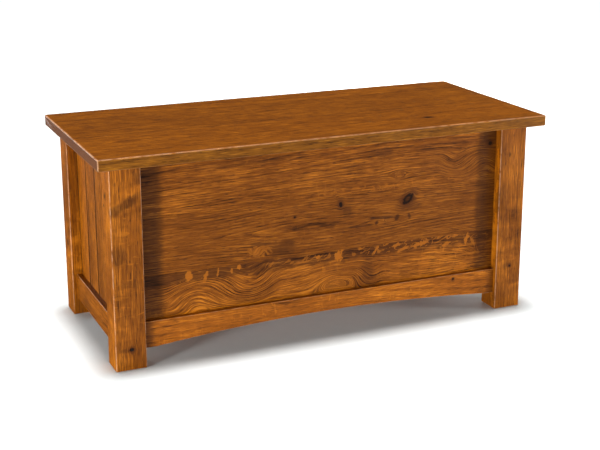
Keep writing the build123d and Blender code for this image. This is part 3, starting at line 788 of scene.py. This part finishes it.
# The rail's ends beside the posts carry painted shade.
board(
    "front_arched_rail",
    oak("oak_front_rail", X, 21, [knot(mm(341, -204, 95), mm(3, 8, 3))], rail_centre,
        (-0.1, 0.110, 0.085), painted_shade_at=inner_x - 12 * MM, lightness=1.45, bow=0.05, tilt=(0, 0.01, 0.015),
        rings=0.25, fibre=0.75, curl=0.3, mottle=0.8, flecks=0.4),
    low=Vector((-inner_x - HIDDEN, rail_low[Y], rail_low[Z])),
    high=Vector((inner_x + HIDDEN, rail_high[Y], rail_high[Z])),
    radii=(1.5, 0.4, 0.4, 1.5),
    arch=arch,
)
for number, (hand, side) in enumerate((("left", -1), ("right", 1))):
    name = f"{hand}_bottom_rail"
    low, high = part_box(name)
    board(
        name,
        oak(f"oak_{name}", Y, 31 + number, [], (low + high) / 2, (0.05, side * 0.04, 0.06),
            rings=0.4, curl=0.3, mottle=0.8, flecks=0.3),
        Y,
        low=Vector((low[X], inner_front - HIDDEN, low[Z])),
        high=Vector((high[X], inner_back + HIDDEN, high[Z])),
        radii=(1.5, 0.4, 0.4, 1.5) if side < 0 else (0.4, 1.5, 1.5, 0.4),
    )
for number, place in enumerate(("bottom", "top")):
    name = f"back_{place}_rail"
    low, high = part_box(name)
    board(
        name,
        oak(f"oak_{name}", X, 41 + number, [], (low + high) / 2, (0.1, -0.05, 0.05),
            rings=0.4, curl=0.3, mottle=0.8, flecks=0.2),
        low=Vector((-inner_x - HIDDEN, low[Y], low[Z])),
        high=Vector((inner_x + HIDDEN, high[Y], high[Z])),
        radii=(0.4, 1.5, 1.5, 0.4),
    )

# -------------------------------- front panel
panel_features = {
    "top": [
        twist(panel_at(385, 388), mm(95, 40, 55), 0.6),
        swirl(panel_at(190, 378), mm(18, 40, 9)),
        curls(panel_at(190, 352), mm(230, 40, 11), 0.1, 0.4),
        # Painted shade under the lid's overhang, across the whole top of the panel.
        stain_and_painted_shade(panel_at(0, 482), mm(2000, 60, 14), 0.8),
        stain_and_painted_shade(panel_at(440, 450), mm(24, 20, 22), 0.5),
        knot(panel_at(441, 431), mm(5, 10, 5)),
        stain_and_painted_shade(panel_at(145, 436), mm(28, 20, 14), 0.45),
        # Darker along the top left, just below the lid.
        stain_and_painted_shade(panel_at(-200, 448), mm(170, 20, 10), 0.35),
    ],
    "middle": [
        knot(panel_at(34, 321), mm(5, 15, 7)),
        stain_and_painted_shade(panel_at(52, 303), mm(12, 20, 14), 0.5),
        knot(panel_at(214, 315), mm(18, 25, 10), turn=0.65, heart=0.6),
        stain_and_painted_shade(panel_at(228, 293), mm(26, 20, 16), 0.5),
        knot(panel_at(-84, 304), mm(3, 8, 2.5)),
        swirl(panel_at(166, 270), mm(18, 30, 6)),
        stain_and_painted_shade(panel_at(185, 271), mm(6, 20, 9), 1.0, turn=-0.5),
        stain_and_painted_shade(panel_at(145, 275), mm(42, 20, 3), 0.9, turn=-0.04),
        swirl(panel_at(116, 264), mm(14, 30, 4)),
        stain_and_painted_shade(panel_at(130, 264), mm(5, 20, 6), 1.0, turn=-0.5),
        stain_and_painted_shade(panel_at(88, 261), mm(42, 20, 2.6), 0.9),
        stain_and_painted_shade(panel_at(219, 272), mm(5, 20, 10), 0.9, turn=0.2),
        stain_and_painted_shade(panel_at(-114, 232), mm(30, 20, 24), 0.6),
        stain_and_painted_shade(panel_at(-172, 250), mm(26, 20, 6), 0.7),
        fleck(panel_at(-175, 232), mm(26, 20, 13), 0.35),
        twist(panel_at(-175, 232), mm(28, 20, 18), 1.2),
    ],
    "bottom": [
        stain_and_painted_shade(panel_at(0, 196), mm(2000, 60, 17), 0.75),
        twist(panel_at(-262, 152), mm(150, 40, 72), -0.62),
        twist(panel_at(92, 136), mm(60, 40, 50), -0.5),
        swirl(panel_at(22, 108), mm(50, 40, 34)),
        curls(panel_at(250, 197), mm(190, 40, 13), 0.4),
        curls(panel_at(-60, 196), mm(130, 40, 9), 0.5, 0.5),
        curls(panel_at(400, 168), mm(42, 40, 20), -0.9, 0.5),
        fleck(panel_at(-347, 196), mm(9, 10, 11), 0.9),
        fleck(panel_at(-306, 191), mm(4, 10, 13), 0.8, turn=-0.35),
        fleck(panel_at(-306, 192), mm(9, 10, 4), 0.7, turn=0.4),
        fleck(panel_at(-277, 194), mm(2.5, 10, 10), 0.8, turn=-0.2),
        fleck(panel_at(-243, 197), mm(3, 10, 8), 0.8),
        fleck(panel_at(-224, 200), mm(6, 10, 6), 0.9),
        fleck(panel_at(-24, 199), mm(6, 10, 4), 0.8),
        fleck(panel_at(30, 195), mm(13, 10, 13), 0.95),
        fleck(panel_at(70, 192), mm(5, 10, 6), 0.5, turn=0.6),
        fleck(panel_at(128, 194), mm(4, 10, 15), 0.85, turn=-0.6),
        fleck(panel_at(185, 200), mm(20, 10, 3.5), 0.8, turn=0.15),
        fleck(panel_at(248, 195), mm(26, 10, 5), 0.9, turn=0.2),
        fleck(panel_at(205, 188), mm(16, 10, 3.5), 0.8, turn=0.35),
        fleck(panel_at(325, 186), mm(16, 10, 4), 0.8, turn=0.4),
        fleck(panel_at(350, 204), mm(8, 10, 4), 0.8, turn=0.3),
        fleck(panel_at(383, 193), mm(5, 10, 14), 0.95, turn=-0.3),
        fleck(panel_at(370, 118), mm(20, 10, 11), 0.55),
        fleck(panel_at(262, 140), mm(16, 10, 26), 0.35),
        stain_and_painted_shade(panel_at(108, 150), mm(16, 20, 45), 0.5),
    ],
}
panel_figure = {
    "bottom": dict(pith=(-0.2, 0.09, 0.11), tilt=(0, 0.01, 0.01), bow=0.1, rings=0.6, wander=1.6,
                   curl=0.3, mottle=0.8, flecks=0.5, spacing=0.0046, lightness=1.1),
    "middle": dict(pith=(-0.04, 0.004, 0.002), tilt=(0, 0.0, 0.0), bow=-0.36, rings=0.36, wander=0.3,
                   fibre=0.75, curl=0.15, mottle=0.45, flecks=0.15, lightness=0.85),
    "top": dict(pith=(0.15, 0.16, 0.10), tilt=(0, -0.005, 0.01), bow=0.05, rings=0.42, wander=0.7,
                fibre=0.95, curl=0.15, mottle=0.5, flecks=0.15, spacing=0.0052, lightness=0.90),
}
# Painted shade in the recess beside each post.
panel_painted_shade_at = inner_x - 52 * MM
for number, (place, features) in enumerate(panel_features.items()):
    name = f"front_panel_{place}_board"
    low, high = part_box(name)
    low[Z] = max(low[Z], rail_top)
    # Painted shade: a dark band along the top of the top board, under the lid.
    painted_shade_under_lid = (Z, FAR_OFF, lid_bottom, SEAM_AND_SHADE_WIDTH) if place == "top" else None
    board(
        name,
        oak(f"oak_{name}", X, 51 + number, features, (low + high) / 2, painted_shade_at=panel_painted_shade_at,
            seams_and_painted_shade=painted_shade_under_lid, **panel_figure[place]),
        low=low,
        high=high,
        radii=(SQUARE_EDGE,) * 4,
        **jointed,
    )

# -------------------------------- sides and back
side_count = 4
side_lightness = (1.15, 0.85, 1.0, 1.2)
side_pitch = (inner_back - inner_front) / side_count
for hand, side in (("left", -1), ("right", 1)):
    # Painted shade under the lid's overhang, along the top of each side board.
    lid_shade = [stain_and_painted_shade(mm(side * 520, 0, 482), mm(60, 2000, 16), 0.7, facing=X)]
    for k in range(side_count):
        name = f"{hand}_side_board_{k + 1}"
        low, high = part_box(name)
        start = inner_front + k * side_pitch
        low[Y] = start if k else low[Y]
        high[Y] = start + side_pitch if k < side_count - 1 else high[Y]
        low[Z] = rail_top
        left_edge, right_edge = (VEE_EDGE, SQUARE_EDGE) if side < 0 else (SQUARE_EDGE, VEE_EDGE)
        board(
            name,
            oak(f"oak_{name}", Z, 61 + k + 4 * (side > 0), lid_shade, (low + high) / 2,
                (0.1, side * 0.03, (0.05, -0.06, 0.04, -0.05)[k]), lightness=side_lightness[k],
                seams_and_painted_shade=(Y, start, start + side_pitch, SEAM_AND_SHADE_WIDTH), **usual_figure),
            Z,
            low=low,
            high=high,
            radii=(left_edge, right_edge, right_edge, left_edge),
            **jointed,
        )
back_count = 3
back_pitch = (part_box("back_top_rail")[0][Z] - rail_top) / back_count
for k in range(back_count):
    name = f"back_board_{k + 1}"
    low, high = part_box(name)
    low[Z] = rail_top + k * back_pitch
    high[Z] = low[Z] + back_pitch
    board(
        name,
        oak(f"oak_{name}", X, 71 + k, [], (low + high) / 2, (0.1, -0.05, (0.03, -0.04, 0.02)[k]),
            seams_and_painted_shade=(Z, low[Z], high[Z], SEAM_AND_SHADE_WIDTH), **usual_figure),
        low=low,
        high=high,
        radii=(SQUARE_EDGE, VEE_EDGE, VEE_EDGE, SQUARE_EDGE),
        **jointed,
    )


# -------------------------------- lid
def carve(piece, blocks):
    """Cuts boxes, each given by two corners, out of a piece."""
    bm = bmesh.new()
    for low, high in blocks:
        made = bmesh.ops.create_cube(bm, size=1.0)["verts"]
        for vertex in made:
            for axis in (X, Y, Z):
                vertex.co[axis] = high[axis] if vertex.co[axis] > 0 else low[axis]
    mesh = bpy.data.meshes.new("cutter")
    bm.to_mesh(mesh)
    bm.free()
    cutter = bpy.data.objects.new("cutter", mesh)
    bpy.context.scene.collection.objects.link(cutter)
    modifier = piece.modifiers.new("carve", "BOOLEAN")
    modifier.operation = "DIFFERENCE"
    modifier.solver = "EXACT"
    modifier.use_self = True
    modifier.object = cutter
    depsgraph = bpy.context.evaluated_depsgraph_get()
    carved = bpy.data.meshes.new_from_object(piece.evaluated_get(depsgraph))
    piece.modifiers.remove(modifier)
    piece.data = carved
    bpy.data.objects.remove(cutter)


lid_figure = {
    "front": dict(pith=(0.1, 0.02, -0.09), tilt=(0, 0.05, 0.02), bow=0.1, lightness=1.17),
    "middle": dict(pith=(-0.1, 0.03, -0.06), tilt=(0, -0.04, 0.02), bow=0.15, lightness=1.08),
    "back": dict(pith=(0.1, -0.03, -0.05), tilt=(0, 0.03, 0.0), bow=0.1, lightness=1.15),
}
lid_features = {
    "front": [knot(mm(285, -155, 503), mm(9, 5, 14), facing=Z)],
    "middle": [],
    "back": [],
}
# Painted shade on the lid's upright faces, against its lit top.
LID_PAINTED_SIDE_SHADE = (0.78, 0.94, 1.25, 1.0)
LID_JOINT_WIDTH = 1.2 * MM
lid_round = 3.5
lid_pieces = {}
for number, (place, figure) in enumerate(lid_figure.items()):
    name = f"lid_{place}_board"
    low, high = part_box(name)
    front, back = place == "front", place == "back"
    front_radius, front_steps = (lid_round, ARC_STEPS) if front else (SQUARE_EDGE, 1)
    back_radius, back_steps = (lid_round, ARC_STEPS) if back else (SQUARE_EDGE, 1)
    first_joint = FAR_OFF if front else low[Y]
    last_joint = -FAR_OFF if back else high[Y]
    lid_pieces[place] = board(
        name,
        oak(f"oak_{name}", X, 81 + number, lid_features[place], (low + high) / 2,
            rings=0.22, wander=0.6, fibre=0.9, curl=0.2, mottle=0.2, flecks=0.1,
            painted_side_shade=LID_PAINTED_SIDE_SHADE, seams_and_painted_shade=(Y, first_joint, last_joint, LID_JOINT_WIDTH), **figure),
        body="lid",
        slot="lid_oak",
        radii=(front_radius, back_radius, back_radius, front_radius),
        steps=(front_steps, back_steps, back_steps, front_steps),
        soft=(1, int(back), 1, int(front)),
        tight=(0, int(not back), 0, int(not front)),
        ends=(1, 1),
        end_round=lid_round,
        worn_and_highlight=(0.1, 0.1, 1, 0.8),
    )
hinge_hands = ("left", "middle", "right")
mortises = []
leaf_fit, leaf_room = 0.1 * MM, 1.4 * MM
barrel_fit, barrel_reach, barrel_room = 1.5 * MM, 10 * MM, 1.8 * MM
for hand in hinge_hands:
    leaf_low, leaf_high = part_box(f"{hand}_hinge_lid_leaf")
    leaf_room_low = Vector((leaf_low[X] - leaf_fit, leaf_low[Y] - leaf_fit, lid_bottom - MM))
    leaf_room_high = Vector((leaf_high[X] + leaf_fit, cad_high[Y] + MM, lid_bottom + leaf_room))
    barrel_low = Vector((leaf_low[X] - barrel_fit, leaf_high[Y] - barrel_reach, lid_bottom - MM))
    barrel_high = Vector((leaf_high[X] + barrel_fit, cad_high[Y] + MM, lid_bottom + barrel_room))
    mortises += [(leaf_room_low, leaf_room_high), (barrel_low, barrel_high)]
carve(lid_pieces["back"], mortises)


# -------------------------------- parts kept from the CAD
def dress(names, material):
    for name in names:
        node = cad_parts[name]
        node.data.materials.clear()
        node.data.materials.append(material)


def dress_in_wood(names, kind, grain, seed, pith, figure):
    """A block of wood of its own for each CAD node."""
    for i, name in enumerate(names):
        low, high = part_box(name)
        wood = oak(f"{kind}_{name}", grain, seed + i, [], (low + high) / 2, pith, **figure)
        dress([name], wood)


def metal(name, bright, dull, roughness):
    """A metal with patina in clouds, fine scratches and darker pits."""
    material, t = new_material(name)
    place = t.node("ShaderNodeTexCoord").outputs["Object"]
    clouds = t.noise(place, (70, 70, 70), detail=4)
    scratches = t.noise(place, (60, 900, 900), detail=2)
    pits = t.noise(place, (900, 900, 900), detail=2)
    tone = t.sway(0.5, (1.3, clouds), (0.6, scratches), (0.4, pits))
    shader = t.node("ShaderNodeBsdfPrincipled")
    t.feed(shader.inputs["Base Color"], t.mix(tone, dull, bright))
    t.feed(shader.inputs["Roughness"], t.sway(roughness, (-0.3, clouds), (0.15, scratches)))
    shader.inputs["Metallic"].default_value = 0.55
    height = t.sway(0.5, (1, scratches), (1, pits))
    t.feed(shader.inputs["Normal"], t.bump(height, 0.25, 0.05 * MM))
    t.show(shader)
    return material


def moulded(name, light, dark, roughness):
    """A rubber or nylon with a fine grained skin and scuffs."""
    material, t = new_material(name)
    place = t.node("ShaderNodeTexCoord").outputs["Object"]
    clouds = t.noise(place, (160, 160, 160), detail=4)
    grain = t.noise(place, (1500, 1500, 1500), detail=2)
    shader = t.node("ShaderNodeBsdfPrincipled")
    t.feed(shader.inputs["Base Color"], t.mix(t.sway(0.5, (1.2, clouds), (0.6, grain)), dark, light))
    t.feed(shader.inputs["Roughness"], t.sway(roughness, (0.25, clouds), (0.2, grain)))
    t.feed(shader.inputs["Normal"], t.bump(grain, 0.3, 0.06 * MM))
    t.show(shader)
    return material


plain = dict(rings=0.4, curl=0.2, mottle=0.5, flecks=0.3,
             dark=srgb(120, 78, 44), mid=srgb(178, 126, 78), light=srgb(206, 160, 110))
cedar = dict(rings=0.4, curl=0.15, mottle=0.6, flecks=0.0, spacing=0.006,
             dark=srgb(120, 62, 40), mid=srgb(176, 106, 72), light=srgb(208, 150, 108))
for i, pith_across in enumerate((0.03, -0.05, 0.02, 0.06, -0.03, 0.04)):
    dress_in_wood([f"floor_board_{i + 1}"], "cedar", Y, 91 + i, (0.1, pith_across, -0.05), cedar)
long_inside = ("front_floor_ledger", "back_floor_ledger", "front_top_cleat")
short_inside = ("left_floor_ledger", "right_floor_ledger", "left_top_cleat", "right_top_cleat")
dress_in_wood(long_inside, "oak", X, 101, (0.1, 0.05, -0.04), plain)
dress_in_wood(short_inside, "oak", Y, 111, (0.1, 0.04, -0.05), plain)
dress_in_wood(("lid_left_batten", "lid_right_batten"), "oak", Y, 121, (0.1, 0.04, 0.05), usual_figure)
dress(["tenon_pins"], oak("oak_pins", X, 131, [], (0, 0, 0), (0, 0.05, 0.05), **plain))

hinges = [f"{hand}_hinge_{part}" for hand in hinge_hands for part in ("frame_leaf", "lid_leaf", "pin")]
dress(hinges, metal("aged_brass", srgb(206, 164, 92), srgb(104, 74, 38), 0.36))
dress(["hinge_frame_screws", "hinge_lid_screws"],
      metal("screw_brass", srgb(214, 174, 104), srgb(120, 88, 48), 0.32))
dress(["ledger_screws", "cleat_screws", "batten_screws"],
      metal("zinc_plate", srgb(200, 202, 200), srgb(120, 122, 118), 0.34))
dress(["lid_bumpers"], moulded("bumper_rubber", srgb(70, 66, 62), srgb(34, 32, 31), 0.6))
dress(["foot_glides"], moulded("glide_nylon", srgb(206, 202, 192), srgb(168, 162, 150), 0.45))


# -------------------------------- studio
def make_floor():
    """A pale floor that runs on past the edges of every view."""
    half = 15.0
    mesh = bpy.data.meshes.new("studio_floor")
    corners = [(-half, -half, 0), (half, -half, 0), (half, half, 0), (-half, half, 0)]
    mesh.from_pydata(corners, [], [(0, 1, 2, 3)])
    floor = bpy.data.objects.new("studio_floor", mesh)
    bpy.context.scene.collection.objects.link(floor)
    material, t = new_material("pale_floor")
    place = t.node("ShaderNodeTexCoord").outputs["Object"]
    speckle = t.noise(place, (30, 30, 30), detail=4)
    shader = t.node("ShaderNodeBsdfPrincipled")
    tone = t.mix(speckle, srgb(225, 230, 230), srgb(230, 235, 235))
    t.feed(shader.inputs["Base Color"], tone)
    t.feed(shader.inputs["Roughness"], t.sway(0.8, (0.1, speckle)))
    t.show(shader)
    mesh.materials.append(material)
    floor.visible_glossy = False


def softbox(name, place, target, width, height, watts, mirrored=False):
    """A rectangular light. A mirrored one shows only on gloss, and the others only in plain light."""
    light = bpy.data.lights.new(name, "AREA")
    light.shape = "RECTANGLE"
    light.size = width
    light.size_y = height
    light.energy = watts
    lamp = bpy.data.objects.new(name, light)
    bpy.context.scene.collection.objects.link(lamp)
    lamp.location = place
    lamp.rotation_euler = (Vector(target) - Vector(place)).to_track_quat("-Z", "Y").to_euler()
    lamp.visible_glossy = mirrored
    lamp.visible_diffuse = not mirrored


def make_world(strength, mirrored, seen):
    """A white surround: even light, dimmer in reflections, as between black flags, and as bright
    as the floor where it is seen beyond it."""
    world = bpy.data.worlds.new("studio")
    bpy.context.scene.world = world
    world.use_nodes = True
    t = Tree(world.node_tree)
    t.tree.nodes.clear()
    rays = t.node("ShaderNodeLightPath").outputs
    level = t.math("MULTIPLY_ADD", rays["Is Glossy Ray"], mirrored - strength, strength)
    level = t.math("MULTIPLY_ADD", rays["Is Camera Ray"], seen - strength, level)
    background = t.node("ShaderNodeBackground")
    background.inputs["Color"].default_value = srgb(255, 254, 252)
    t.feed(background.inputs["Strength"], level)
    t.feed(t.node("ShaderNodeOutputWorld").inputs["Surface"], background.outputs[0])


def overhead(strength, spread):
    """One broad light straight above; spread is its width in degrees."""
    light = bpy.data.lights.new("overhead", "SUN")
    light.energy = strength
    light.angle = math.radians(spread)
    lamp = bpy.data.objects.new("overhead", light)
    bpy.context.scene.collection.objects.link(lamp)
    lamp.location = (0, 0, 4)


make_floor()
make_world(0.07, 0.03, 1.1)
overhead(4.15, 11)
softbox("left_softbox", (-3.4, -1.75, 0.35), (0, -0.2, 0.25), 0.6, 0.6, 149)
softbox("right_softbox", (3.4, -1.75, 0.35), (0, -0.2, 0.25), 0.6, 0.6, 109)
softbox("left_side_softbox", (-3.4, 0.3, 0.45), (0, 0, 0.25), 1.2, 0.7, 18)
softbox("right_side_softbox", (3.4, 0.3, 0.45), (0, 0, 0.25), 1.2, 0.7, 24)
softbox("back_left_softbox", (-2.4, 3.0, 0.55), (0, 0.2, 0.25), 0.9, 0.6, 62)
softbox("back_right_softbox", (2.4, 3.0, 0.55), (0, 0.2, 0.25), 0.9, 0.6, 80)
softbox("left_sheen", (-3.4, -1.75, 0.6), (0, -0.2, 0.25), 2.4, 1.4, 75, mirrored=True)
softbox("right_sheen", (3.4, -1.75, 0.6), (0, -0.2, 0.25), 2.4, 1.4, 60, mirrored=True)
softbox("back_left_sheen", (-2.4, 3.0, 0.7), (0, 0.2, 0.25), 1.8, 1.2, 24, mirrored=True)
bpy.context.scene.view_settings.view_transform = "Standard"
